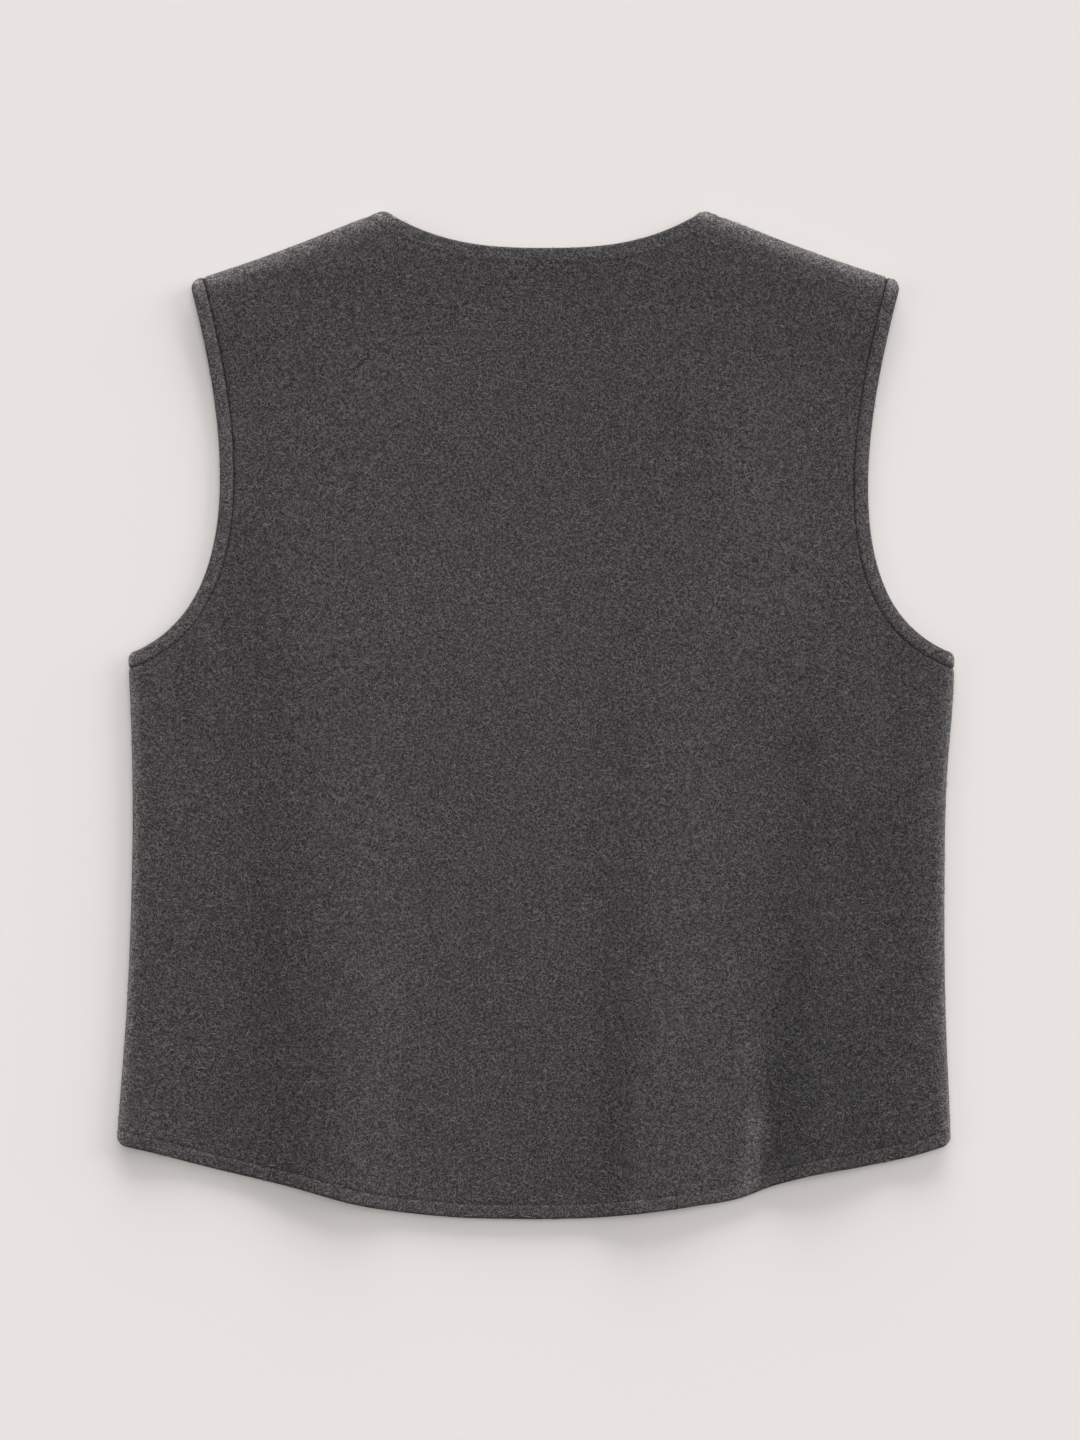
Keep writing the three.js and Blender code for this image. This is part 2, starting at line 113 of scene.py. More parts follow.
# Streaks of painted shade and painted light along the back's soft folds and beside the left
# armhole's seam, laid out in the same way. The last value is how much lighter or darker the
# colour is painted there.
PAINTED_STREAKS = [
    ((-177, 105), (-146, -262), 25, -0.12),
    ((-156, -110), (-148, -262), 30, -0.08),
    ((-100, -40), (-96, -285), 26, 0.04),
    ((-112, -130), (-120, -230), 14, -0.06),
    ((50, -15), (46, -279), 15, -0.09),
    ((60, -130), (53, -260), 15, -0.06),
    ((10, -200), (30, -280), 34, -0.06),
    ((-70, -230), (-30, -290), 40, -0.03),
    ((97, 60), (100, -60), 24, 0.05),
    ((115, -120), (112, -240), 18, -0.04),
    ((157, -20), (153, -268), 15, -0.16),
    ((165, -150), (168, -262), 20, -0.08),
    ((190, -70), (196, -250), 28, -0.2),
    ((186, -200), (200, -262), 24, -0.1),
    ((172, 60), (168, -10), 24, -0.06),
    ((145, -215), (144, -268), 8, -0.1),
    ((129, -200), (131, -250), 6, 0.07),
    ((132, -245), (128, -292), 6, 0.55),
    ((219, 45), (219, -200), 8, -0.08),
    ((-215, -150), (-195, -260), 34, -0.09),
    ((-214, 52), (-218, -120), 18, -0.08),
    ((10, 240), (62, 165), 42, -0.05),
    ((-213, 40), (-213, 0), 6, -0.06),
    ((-70, 90), (-20, 65), 42, 0.06),
    ((-198, 245), (-184, 175), 6, 0.07),
    ((-183, 172), (-182, 125), 6, 0.07),
    ((-184, 115), (-198, 64), 6, 0.05),
    ((-213, 259), (-201, 204), 3.5, 0.13),
    ((-200, 200), (-195, 138), 3.5, 0.13),
    ((-195, 134), (-206, 77), 3.5, 0.13),
    ((-208, 73), (-240, 39), 3.5, 0.1),
    ((-150, 110), (-140, 60), 24, 0.06),
    ((130, 130), (130, 80), 34, 0.07),
]
# Painted highlights over the side and shoulder folds, stronger on the left side. In the seams'
# grooves the colour is darker by a share, as painted shade.
PAINTED_FOLD_HIGHLIGHT = {
    "left": {"most": 1.95, "middle": 1.6 * MM, "reach": 2.1 * MM},
    "right": {"most": 1.5, "middle": 0, "reach": 3 * MM},
    "shoulder": {"most": 1.03, "middle": 0.5 * MM, "reach": 7.2 * MM},
}
PAINTED_SEAM_SHADE = 0.5

# How the lie is off the cut. The back's hem swings up by its own table, the cloth under the right
# arm is pushed out, and the upper vest and its shoulders are pushed up between the levels given.
HEM_SWING = np.array([
    (-250, 0), (-225, 0.7), (-170, 0.3), (-130, 0.7), (-80, 0.4), (30, 0.4), (60, 1.5), (98, 1.5),
    (123, -0.5), (146, 1.5), (170, 2.3), (196, 0.7), (226, -1), (250, 0),
]) * MM
SWING_REACH = 45 * MM
UNDERARM_PUSH = {"middle": 6 * MM, "reach": 32 * MM, "across": (120 * MM, 200 * MM), "by": 1.5 * MM}
UPPER_PUSH = {"up": (-100 * MM, 30 * MM), "by": 0.3 * MM}
SHOULDER_PUSH = {"across": (90 * MM, 125 * MM), "up": (130 * MM, 260 * MM), "by": 1.0 * MM}


def read(table, place):
    """A table's second column at places along its first, on a smooth curve through its rows"""
    key, value = table.T
    slope = np.gradient(value, key)
    slope[1:-1] = (value[2:] - value[:-2]) / (key[2:] - key[:-2])
    row = np.clip(np.searchsorted(key, place, side="right") - 1, 0, len(key) - 2)
    span = key[row + 1] - key[row]
    t = (place - key[row]) / span
    u = np.clip(t, 0, 1)
    curve = value[row] * (1 + 2 * u) * (1 - u) ** 2 + value[row + 1] * u * u * (3 - 2 * u)
    curve += span * (slope[row] * u * (1 - u) ** 2 - slope[row + 1] * u * u * (1 - u))
    return curve + (t - u) * span * np.where(t > 1, slope[row + 1], slope[row])


def ease(value, low, high):
    t = np.clip((value - low) / (high - low), 0, 1)
    return t * t * (3 - 2 * t)


SHOULDER_RUN = SHOULDER_TIP - SHOULDER_NECK
SHOULDER_LENGTH = np.linalg.norm(SHOULDER_RUN)
SHOULDER_IN = np.array((SHOULDER_RUN[1], -SHOULDER_RUN[0])) / SHOULDER_LENGTH


def side_depth(x, y):
    return read(SIDE, y) - WALL / 2 - x


def shoulder_depth(x, y):
    away = np.stack([x, y], -1) - SHOULDER_NECK
    part = away @ SHOULDER_RUN / SHOULDER_LENGTH ** 2
    hollow = 4 * SHOULDER_SAG * np.maximum(0, part * (1 - part))
    return away @ SHOULDER_IN - hollow - WALL / 2


def middle_depth(x, y):
    return x


REST_UNDER = WALL / 2
REST_TOP = WALL + LAYER_GAP + WALL / 2
ROLL_TOP = ROLL_HEIGHT - WALL / 2
ROLL_RISE = (ROLL_TOP - REST_UNDER) / 2

hem_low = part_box("hem_band")[0]
neck_low, neck_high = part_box("neck_band")
SHIFT = np.array((
    (neck_low.x + neck_high.x) / 2 - float(read(MIDDLE_LINE, SHOULDER_NECK[1])),
    hem_low.y - BACK_HEM[0, 1],
    0,
))


def soft_folds(x, y):
    height = np.zeros_like(x)
    for fold in SOFT_FOLDS:
        grown = ease(fold["fade"] * MM - y, 0, fold["fade"] * MM - HEM_LEVEL)
        away = x - (fold["crest"] + fold["lean"] * (1 - grown)) * MM
        reach = np.where(away < 0, fold["left"], fold["right"]) * MM
        height += fold["height"] * MM * grown * (1 - np.minimum(1, np.abs(away) / reach) ** 2) ** 2
    return height


def summed(lines, x, y):
    """What the lines of a table add up to at places on the back"""
    total = np.zeros_like(x)
    for start, end, width, value in lines:
        start, end = np.array(start) * MM, np.array(end) * MM
        run = end - start
        part = np.clip(((x - start[0]) * run[0] + (y - start[1]) * run[1]) / (run @ run), 0, 1)
        away = np.hypot(x - start[0] - run[0] * part, y - start[1] - run[1] * part)
        total += value * np.exp(-(away / (width * MM)) ** 2)
    return total


def top_height(x, y):
    """Height of the middle of the back's cloth, where it has left the rolls"""
    settled = ease(side_depth(np.abs(x), y) - ROLL_DEPTH, 0, SIDE_REACH)
    settled *= ease(shoulder_depth(np.abs(x), y) - ROLL_DEPTH, 0, SHOULDER_REACH)
    resting = REST_TOP + soft_folds(x, y) + summed(CREASES, x, y) * MM
    return ROLL_TOP + (resting - ROLL_TOP) * settled


def swung(x, y, layer):
    """How far cut points lie to the right of and above their own places"""
    arm, tip = UNDERARM_PUSH, SHOULDER_PUSH
    right = arm["by"] * np.exp(-((y - arm["middle"]) / arm["reach"]) ** 2) * ease(x, *arm["across"])
    from_hem = y - read(BACK_HEM, np.abs(x))
    up = (layer == TOP) * read(HEM_SWING, x) * (1 - ease(from_hem, 0, SWING_REACH))
    up += UPPER_PUSH["by"] * ease(y, *UPPER_PUSH["up"])
    up += tip["by"] * ease(np.abs(x), *tip["across"]) * ease(y, *tip["up"])
    return np.stack([right, up], -1)


def lay(cut, offset):
    """Places of cut points x, y, layer, moved out of the middle of the cloth by offset"""
    x, y, layer = cut.T
    side, shoulder = side_depth(np.abs(x), y), shoulder_depth(np.abs(x), y)
    depth = np.minimum(side, shoulder)
    inward = np.where((side < shoulder)[:, None], (-1, 0), SHOULDER_IN)
    inward[:, 0] *= np.sign(x)
    turn = layer * np.clip(depth / ROLL_DEPTH, 0, 1) * math.pi / 2
    rolled, top = depth < ROLL_DEPTH, layer == TOP
    inset = np.where(rolled, ROLL_DEPTH * (1 - np.cos(turn)) - depth, 0)
    step = 0.5 * MM
    height = top_height(x, y)
    slope_x = (top_height(x + step, y) - height) / step
    slope_y = (top_height(x, y + step) - height) / step
    flat_z = np.where(top, height, REST_UNDER)
    place = np.empty((len(x), 3))
    place[:, :2] = cut[:, :2] + inward * inset[:, None]
    place[:, 2] = np.where(rolled, REST_UNDER + ROLL_RISE * (1 + np.sin(turn)), flat_z)
    out = np.empty((len(x), 3))
    rolled_out = -inward * (np.cos(turn) * ROLL_RISE)[:, None]
    flat_out = -np.stack([slope_x, slope_y], -1) * top[:, None]
    out[:, :2] = np.where(rolled[:, None], rolled_out, flat_out)
    out[:, 2] = np.where(rolled, np.sin(turn) * ROLL_DEPTH, layer)
    out /= np.linalg.norm(out, axis=1)[:, None]
    place += out * np.reshape(offset, (-1, 1))
    place[:, 0] += read(MIDDLE_LINE, place[:, 1])
    place[:, :2] += swung(x, y, layer)
    return place + SHIFT


# Lines of the cut are rows of x, y, with the cloth on their right as they run.
def runs(line):
    return np.concatenate([[0], np.cumsum(np.linalg.norm(np.diff(line, axis=0), axis=1))])


def at(line, run):
    own = runs(line)
    return np.stack([np.interp(run, own, line[:, k]) for k in range(2)], -1)


def spread(line, parts):
    return at(line, runs(line)[-1] * parts)


def shifted(line, by):
    run = np.gradient(line, axis=0)
    run /= np.linalg.norm(run, axis=1)[:, None]
    return line + by * np.stack([run[:, 1], -run[:, 0]], -1)


def bezier(points):
    t = np.linspace(0, 1, SAMPLES)[:, None]
    last = len(points) - 1
    return sum(
        math.comb(last, k) * (1 - t) ** (last - k) * t ** k * point
        for k, point in enumerate(points)
    )


def trimmed(line, *depths):
    """The stretch of a line on which every depth is above nothing"""
    least = np.min([depth(*line.T) for depth in depths], axis=0)
    first, last = np.flatnonzero(least > 0)[[0, -1]]
    kept = line[first:last + 1]
    for inner, outer, place in ((last, last + 1, len(kept)), (first, first - 1, 0)):
        if 0 <= outer < len(line):
            part = least[inner] / (least[inner] - least[outer])
            kept = np.insert(kept, place, line[inner] + (line[outer] - line[inner]) * part, axis=0)
    return kept


def band_lines(edge, width, *depths):
    """A band's free edge, its sewn edge, and the seam line of the panel across the gap"""
    before = edge[0] + (edge[0] - edge[1]) / np.linalg.norm(edge[0] - edge[1]) * 3 * width
    after = edge[-1] + (edge[-1] - edge[-2]) / np.linalg.norm(edge[-1] - edge[-2]) * 3 * width
    long = spread(np.vstack([before, edge, after]), np.linspace(0, 1, 2 * SAMPLES))
    names = {"free": 0, "sewn": width, "seam": width + SEAM_GAP}
    return {name: trimmed(shifted(long, by), *depths) for name, by in names.items()}


def meeting(front, back, start, end):
    """The front's lines, ended on the folds just where the back's end"""
    for name, line in front.items():
        if start:
            line[0] = back[name][0]
        if end:
            line[-1] = back[name][-1]
    return front


def hem_edge(table):
    x = table[-1, 0] * np.linspace(1 + OVERRUN, -OVERRUN, SAMPLES)
    return np.stack([x, read(table, np.abs(x))], -1)


def back_neck_edge():
    part = np.linspace(-OVERRUN, 1 + OVERRUN, SAMPLES)
    rise = BACK_NECK["rise"] * np.abs(part) ** BACK_NECK["power"]
    return np.stack([BACK_NECK["half"] * part, BACK_NECK["bottom"] + rise], -1)


back_armhole = band_lines(bezier(BACK_ARMHOLE), ARMHOLE_BAND, shoulder_depth, side_depth)
back_neck = band_lines(back_neck_edge(), NECK_BAND, middle_depth, shoulder_depth)
back_hem = band_lines(hem_edge(BACK_HEM), HEM_BAND, side_depth, middle_depth)

FRONT_ARMHOLE = np.array([(213.2, 258.6), (188, 198), (158, 67), (246.6, 37.2)]) * MM
FRONT_NECK = np.array([(0, 128), (56, 214), (96.5, 303.2)]) * MM
FRONT_HEM = np.array([(0, -279), (100, -274), (200, -263), (250, -256.9)]) * MM
front_armhole = meeting(
    band_lines(bezier(FRONT_ARMHOLE), ARMHOLE_BAND, shoulder_depth, side_depth),
    back_armhole, start=True, end=True,
)
front_neck = meeting(
    band_lines(bezier(FRONT_NECK), NECK_BAND, middle_depth, shoulder_depth),
    back_neck, start=False, end=True,
)
front_hem = meeting(
    band_lines(hem_edge(FRONT_HEM), HEM_BAND, side_depth, middle_depth),
    back_hem, start=True, end=False,
)

# Each seam pulls the cloth in beside it: by its depth at the seam, less where the stitches are
# slack, more by its turn on the folds, and within its reach. The band beside it has a crown, a
# colour lightened by painted light, which is its nap value, and a sunk thread.
ARMHOLE_SEAM = {
    "depth": 0.84 * MM, "slack": 0.25, "turn": 0.5, "reach": 0.82 * MM,
    "crown": 0.4 * MM, "nap": 1.3, "thread": 0.62 * MM,
}
NECK_SEAM = {
    "depth": 0.28 * MM, "slack": 0.45, "turn": 1.0, "reach": 0.95 * MM,
    "crown": 0.1 * MM, "nap": 1.22, "thread": 0.42 * MM,
}
HEM_SEAM = {
    "depth": 0.33 * MM, "slack": 0.45, "turn": 0.6, "reach": 0.9 * MM,
    "crown": 0.15 * MM, "nap": 1.06, "thread": 0.44 * MM,
}
SEAMS = [
    (TOP, back_armhole["seam"], ARMHOLE_SEAM),
    (TOP, back_neck["seam"], NECK_SEAM),
    (TOP, back_hem["seam"], HEM_SEAM),
    (UNDER, front_armhole["seam"], ARMHOLE_SEAM),
    (UNDER, front_neck["seam"], NECK_SEAM),
    (UNDER, front_hem["seam"], HEM_SEAM),
]
HIDDEN_SEAM = {"depth": 0.6 * MM, "slack": 0.3, "turn": 0, "reach": 1.4 * MM}
SLACK_LENGTH = 31 * MM
# Between the two folds on the back's right, the hem's seam lies almost level with the cloth
LEVEL = {"middle": 115 * MM, "reach": 34 * MM, "by": 0.6}
# Under the arms the armhole's seam is sewn with a lighter pull
LIGHT_PULL = {"low": 40 * MM, "high": 125 * MM, "by": 0.27}


def tightened(cut, seam):
    """How much tighter a seam is where it turns over a fold"""
    half, y = np.abs(cut[:, 0]), cut[:, 1]
    depth = np.minimum(side_depth(half, y), shoulder_depth(half, y))
    return 1 + seam["turn"] * (1 - ease(depth, 0, 2 * ROLL_DEPTH))


def pull(cut, distance, seam):
    """How far a seam pulls in the cut points at this distance from it"""
    x, y, layer = cut.T
    turn = math.tau / SLACK_LENGTH
    wander = 0.5 + 0.3 * np.sin(turn * x + 2 * np.sin(0.6 * turn * y))
    wander += 0.2 * np.sin(1.7 * turn * y - 2.3 * turn * x)
    depth = seam["depth"] * (1 - seam["slack"] * wander)
    if seam is HEM_SEAM:
        depth *= 1 - LEVEL["by"] * (layer == TOP) * np.exp(-((x - LEVEL["middle"]) / LEVEL["reach"]) ** 2)
    if seam is ARMHOLE_SEAM:
        depth *= 1 - LIGHT_PULL["by"] * (1 - ease(y, LIGHT_PULL["low"], LIGHT_PULL["high"]))
    tight = tightened(cut, seam)
    return depth * tight * np.exp(-(distance / (seam["reach"] * tight)) ** 2)


def nearest(points, line):
    """Distance of each point from a line, a slice of points at a time"""
    thin = line[::3]
    slices = np.array_split(points, len(points) // 2000 + 1)
    return np.concatenate([
        np.sqrt(((part[:, None] - thin) ** 2).sum(-1).min(1)) for part in slices
    ])


def pinch(cut):
    """How far a panel's outer face is pulled in by the seams round it"""
    points = np.stack([np.abs(cut[:, 0]), cut[:, 1]], -1)
    pulled = np.zeros(len(cut))
    for layer, line, seam in SEAMS:
        mine = cut[:, 2] == layer
        pulled[mine] = np.maximum(pulled[mine], pull(cut[mine], nearest(points[mine], line), seam))
    across = np.minimum(side_depth(*points.T), shoulder_depth(*points.T)) - SEAM_DEPTH
    under = cut[:, 2] == UNDER
    pulled[under] = np.maximum(pulled[under], pull(cut[under], across[under], HIDDEN_SEAM))
    return pulled


def nap(cut, pulled):
    """How light the colour is painted: painted highlights over the folds, painted shade and light in
    streaks, painted shade in the seams' grooves
    """
    x, y, layer = cut.T
    half = np.abs(x)
    groove_share = np.clip(pulled / ARMHOLE_SEAM["depth"], 0, 1)
    light = 1 + summed(PAINTED_STREAKS, np.where(layer == TOP, x, -x), y)
    # Painted highlights over the side and shoulder folds, dimmed in the seams' grooves
    for part, depth, fold in (
        (x < 0, side_depth, PAINTED_FOLD_HIGHLIGHT["left"]),
        (x >= 0, side_depth, PAINTED_FOLD_HIGHLIGHT["right"]),
        (half > 0, shoulder_depth, PAINTED_FOLD_HIGHLIGHT["shoulder"]),
    ):
        away = (np.maximum(depth(half, y), 0) - fold["middle"]) / fold["reach"]
        light += part * (1 - groove_share) * fold["most"] * np.exp(-away ** 2)
    # Painted shade in the seams' grooves
    return light * (1 - PAINTED_SEAM_SHADE * groove_share ** 2)


def graded(cells, fine=0.95, growth=9):
    """Parts of a length in cells that are fine at both ends and wider between them"""
    i = np.arange(cells)
    width = 1 - fine * (np.exp(-i / growth) + np.exp(-(cells - 1 - i) / growth))
    return np.concatenate([[0], np.cumsum(width)]) / width.sum()


def mirrored(line):
    return line * (-1, 1)


def beside_side(y, depth):
    return np.stack([read(SIDE, y) - WALL / 2 - depth, y], -1)


def beside_shoulder(start, end, parts, depth):
    line = start + (end - start) * parts[:, None]
    return line + SHOULDER_IN * (depth - shoulder_depth(*line.T))[:, None]


def from_fold(line, depth_of, depths):
    """Points at these depths on a line that starts on a fold"""
    own = depth_of(*line.T)
    stop = np.argmax(own > depths[-1]) + 1
    return at(line, np.interp(depths, own[:stop], runs(line)[:stop]))


def patch(layer, bottom, top, left, right):
    """A grid of cut points between four edges that share their corners"""
    u = (runs(bottom) / runs(bottom)[-1])[None, :, None]
    v = (runs(right) / runs(right)[-1])[:, None, None]
    corners = (1 - v) * ((1 - u) * bottom[0] + u * bottom[-1]) + v * ((1 - u) * top[0] + u * top[-1])
    grid = (1 - v) * bottom + v * top + (1 - u) * left[:, None] + u * right[:, None] - corners
    grid[0], grid[-1], grid[:, 0], grid[:, -1] = bottom, top, left, right
    return np.dstack([grid, np.full(grid.shape[:2], layer)])


def new_mesh(name, vertices, faces, light, shown, material):
    """A smooth piece with its painted light and shade, and a mark on the faces that show"""
    mesh = bpy.data.meshes.new(name)
    mesh.from_pydata(vertices.tolist(), [], faces)
    mesh.attributes.new("nap", "FLOAT", "POINT").data.foreach_set("value", light)
    mesh.attributes.new("shown", "BOOLEAN", "FACE").data.foreach_set("value", shown)
    mesh.materials.append(material)
    mesh.polygons.foreach_set("use_smooth", [True] * len(mesh.polygons))
    piece = bpy.data.objects.new(name, mesh)
    bpy.context.scene.collection.objects.link(piece)
    return piece


def quads(rows, columns):
    index = np.arange(rows * columns).reshape(rows, columns)
    corners = [index[:-1, :-1], index[:-1, 1:], index[1:, 1:], index[1:, :-1]]
    return np.stack([corner.ravel() for corner in corners], -1)


def panel(name, grids, material):
    """A panel's grids joined at their shared fold points, with two faces and a closed rim"""
    faces, start = [], 0
    for grid in grids:
        faces.append(quads(*grid.shape[:2]) + start)
        start += grid.shape[0] * grid.shape[1]
    cut = np.concatenate([grid.reshape(-1, 3) for grid in grids])
    half = np.abs(cut[:, 0])
    on_fold = np.minimum(side_depth(half, cut[:, 1]), shoulder_depth(half, cut[:, 1])) < 1e-7
    key = np.round(np.column_stack([cut[:, :2], cut[:, 2] * ~on_fold]), 8)
    _, first, same = np.unique(key, axis=0, return_index=True, return_inverse=True)
    faces, cut = same.ravel()[np.concatenate(faces)], cut[first]
    count = len(cut)
    edges = np.concatenate([faces[:, [k, (k + 1) % 4]] for k in range(4)])
    code, back = edges @ (count, 1), edges @ (1, count)
    a, b = edges[~np.isin(code, back)].T
    rim = np.stack([b, a, a + count, b + count], -1)
    inner = faces[:, ::-1] + count
    pulled = pinch(cut)
    places = np.concatenate([lay(cut, WALL / 2 - pulled), lay(cut, -WALL / 2)])
    # Painted light and shade, the same on both faces
    light = np.tile(nap(cut, pulled), 2)
    everything = np.concatenate([faces, inner, rim])
    shown = np.arange(len(everything)) < len(faces)
    return outward(new_mesh(name, places, everything.tolist(), light, shown, material))


def outward(piece):
    """Turns a closed piece's faces outwards where its volume comes out negative"""
    mesh = piece.data
    mesh.calc_loop_triangles()
    corners = np.empty(len(mesh.loop_triangles) * 3, dtype=int)
    mesh.loop_triangles.foreach_get("vertices", corners)
    places = np.empty(len(mesh.vertices) * 3)
    mesh.vertices.foreach_get("co", places)
    a, b, c = places.reshape(-1, 3)[corners.reshape(-1, 3)].transpose(1, 0, 2)
    if (a * np.cross(b, c)).sum() < 0:
        mesh.flip_normals()
    return piece


class Value:
    """An output of a node, with arithmetic that adds Math nodes"""

    def __init__(self, graph, socket):
        self.graph, self.socket = graph, socket

    def math(self, operation, *values):
        return self.graph.node("ShaderNodeMath", {"operation": operation}, dict(enumerate(values)))

    def __add__(self, other):
        return self.math("ADD", self, other)

    def __radd__(self, other):
        return self.math("ADD", other, self)

    def __sub__(self, other):
        return self.math("SUBTRACT", self, other)

    def __rsub__(self, other):
        return self.math("SUBTRACT", other, self)

    def __mul__(self, other):
        return self.math("MULTIPLY", self, other)

    def __rmul__(self, other):
        return self.math("MULTIPLY", other, self)

    def larger(self, other):
        return self.math("MAXIMUM", self, other)


class Graph:
    """A tree of nodes that are added one by one"""

    def node(self, kind, settings, inputs, output=0):
        """A node with its settings made first, then the values or links of its sockets"""
        made = self.tree.nodes.new(kind)
        for key, value in settings.items():
            setattr(made, key, value)
        for key, value in inputs.items():
            if isinstance(value, Value):
                self.tree.links.new(value.socket, made.inputs[key])
            else:
                made.inputs[key].default_value = value
        return Value(self, made.outputs[output]) if made.outputs else made

    def vector(self, operation, *values):
        return self.node("ShaderNodeVectorMath", {"operation": operation}, dict(enumerate(values)))


class Shader(Graph):
    """A material of its own"""

    def __init__(self, name):
        self.material = bpy.data.materials.new(name)
        self.material.use_nodes = True
        self.tree = self.material.node_tree
        self.tree.nodes.clear()

    def between(self, value, low, high):
        return self.node("ShaderNodeMapRange", {"interpolation_type": "SMOOTHSTEP"}, {
            "Value": value, "From Min": low, "From Max": high,
        })

    def mix(self, factor, a, b):
        return self.node("ShaderNodeMix", {"data_type": "RGBA"}, {0: factor, 6: a, 7: b}, output=2)

    def noise(self, place, scale, detail):
        return self.node("ShaderNodeTexNoise", {}, {
            "Vector": place, "Scale": scale, "Detail": detail, "Roughness": 0.5,
        })


# The light curls of fibre lie in three layers: their size in millimetres and how far they are turned
CURLS = [(1.3, 0.4), (1.05, 1.5), (1.15, 2.6)]


def felted_wool(name, ground, fibre):
    """Felted melange: fine light curls of fibre lie every way over a near-black ground"""
    felt = Shader(name)
    place = felt.node("ShaderNodeTexCoord", {}, {}, output=3)
    curls = None
    for k, (size, slant) in enumerate(CURLS, start=1):
        turned = felt.node("ShaderNodeMapping", {"vector_type": "TEXTURE"}, {
            "Vector": place, "Location": (0.013 * k, 0.007 * k, 0.004 * k),
            "Rotation": (0.0, 0.0, slant), "Scale": (1.8 * size * MM, 0.8 * size * MM, size * MM),
        })
        wave = felt.noise(turned, 1.0, 0.0)
        line = felt.between(wave.math("ABSOLUTE", wave - 0.5), 0.09, 0.0)
        broken = felt.between(felt.noise(turned, 0.9, 0.0), 0.35, 0.65)
        curls = line * broken if curls is None else curls.larger(line * broken)
    grain = felt.noise(place, 1 / (0.5 * MM), 0.0)
    mottle = felt.noise(place, 1 / (9 * MM), 2.0)
    shade = 0.1 + 0.85 * curls + 0.7 * (grain - 0.5) + 0.12 * (mottle - 0.5)
    # The colour is scaled by the painted light and shade that each piece carries in its nap attribute
    painted_light_and_shade = felt.node("ShaderNodeAttribute", {"attribute_name": "nap"}, {}, output=2)
    colour = felt.node("ShaderNodeVectorMath", {"operation": "SCALE"}, {
        0: felt.mix(shade, ground, fibre), 3: painted_light_and_shade,
    })
    bump = felt.node("ShaderNodeBump", {}, {
        "Strength": 1.0, "Distance": 0.3 * MM, "Height": 0.7 * curls + 0.5 * grain,
    })
    surface = felt.node("ShaderNodeBsdfPrincipled", {}, {
        "Base Color": colour, "Roughness": 0.92, "Normal": bump, "Specular IOR Level": 0.15,
        "Sheen Weight": 0.15, "Sheen Roughness": 0.4, "Sheen Tint": (0.6, 0.58, 0.58, 1.0),
    })
    felt.node("ShaderNodeOutputMaterial", {}, {"Surface": surface})
    return felt.material


BODY_GROUND, BODY_FIBRE = (0.0125, 0.0115, 0.0119, 1.0), (0.1275, 0.1185, 0.1205, 1.0)
body_wool = felted_wool("felted_wool_body", BODY_GROUND, BODY_FIBRE)

SHOULDER_CELLS, NECK_CELLS, SIDE_CELLS, ARMHOLE_CELLS, FLAP_CELLS = 54, 70, 106, 86, 12

hem_seam, armhole_seam, neck_seam = back_hem["seam"], back_armhole["seam"][::-1], back_neck["seam"]
side_y = hem_seam[0, 1] + (armhole_seam[0, 1] - hem_seam[0, 1]) * graded(SIDE_CELLS)
side_fold = beside_side(side_y, 0)
right_edge = np.vstack([side_fold[:-1], spread(armhole_seam, graded(ARMHOLE_CELLS))])
shoulder_fold = beside_shoulder(neck_seam[-1], armhole_seam[-1], graded(SHOULDER_CELLS), 0)
neck_whole = np.vstack([mirrored(neck_seam[1:])[::-1], neck_seam])
neck_line = spread(neck_whole, graded(NECK_CELLS))
top_edge = np.vstack([mirrored(shoulder_fold)[::-1][:-1], neck_line[:-1], shoulder_fold])
hem_whole = np.vstack([mirrored(hem_seam), hem_seam[::-1][1:]])
bottom_edge = spread(hem_whole, runs(top_edge) / runs(top_edge)[-1])
bottom_edge[0], bottom_edge[-1] = mirrored(side_fold[:1])[0], side_fold[0]
top_edge[0], top_edge[-1] = mirrored(right_edge[-1:])[0], right_edge[-1]
back_grid = patch(TOP, bottom_edge, top_edge, mirrored(right_edge), right_edge)

flap_depths = SEAM_DEPTH * np.linspace(0, 1, FLAP_CELLS + 1)
flap_hem = from_fold(front_hem["seam"], side_depth, flap_depths)
flap_underarm = from_fold(front_armhole["seam"][::-1], side_depth, flap_depths)
flap_y = flap_hem[-1, 1] + (flap_underarm[-1, 1] - flap_hem[-1, 1]) * graded(SIDE_CELLS)
flap_hem[0], flap_underarm[0] = side_fold[0], side_fold[-1]
side_flap = patch(UNDER, flap_hem, flap_underarm, side_fold, beside_side(flap_y, SEAM_DEPTH))

flap_neck = from_fold(front_neck["seam"][::-1], shoulder_depth, flap_depths)
flap_tip = from_fold(front_armhole["seam"], shoulder_depth, flap_depths)
flap_neck[0], flap_tip[0] = shoulder_fold[0], shoulder_fold[-1]
flap_end = beside_shoulder(flap_neck[-1], flap_tip[-1], graded(SHOULDER_CELLS), SEAM_DEPTH)
top_flap = patch(UNDER, shoulder_fold, flap_end, flap_neck, flap_tip)


def turned_over(grid):
    return (grid * (-1, 1, 1))[:, ::-1]


back_panel = panel(
    "back_cloth",
    [back_grid, side_flap, turned_over(side_flap), top_flap, turned_over(top_flap)],
    body_wool,
)
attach(back_panel, "root")
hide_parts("back_panel")

# ------------------------------------------------------------------------------------------------
# Front panel. It lies flat under the back, between the seams on the underside. Its V neck and its
# shallow hem are plain, and the armholes are cut a little deeper than the back's.
# ------------------------------------------------------------------------------------------------
V_CELLS, PLAIN_CELLS = 56, 44
beyond = SEAM_DEPTH + SEAM_GAP


def between_folds(line, start_depth, end_depth):
    """The stretch of a line that is beyond the seams near its two ends"""
    return trimmed(line, *[
        lambda x, y, depth=depth, least=least: depth(x, y) - least
        for depth, least in (start_depth, end_depth)
    ])


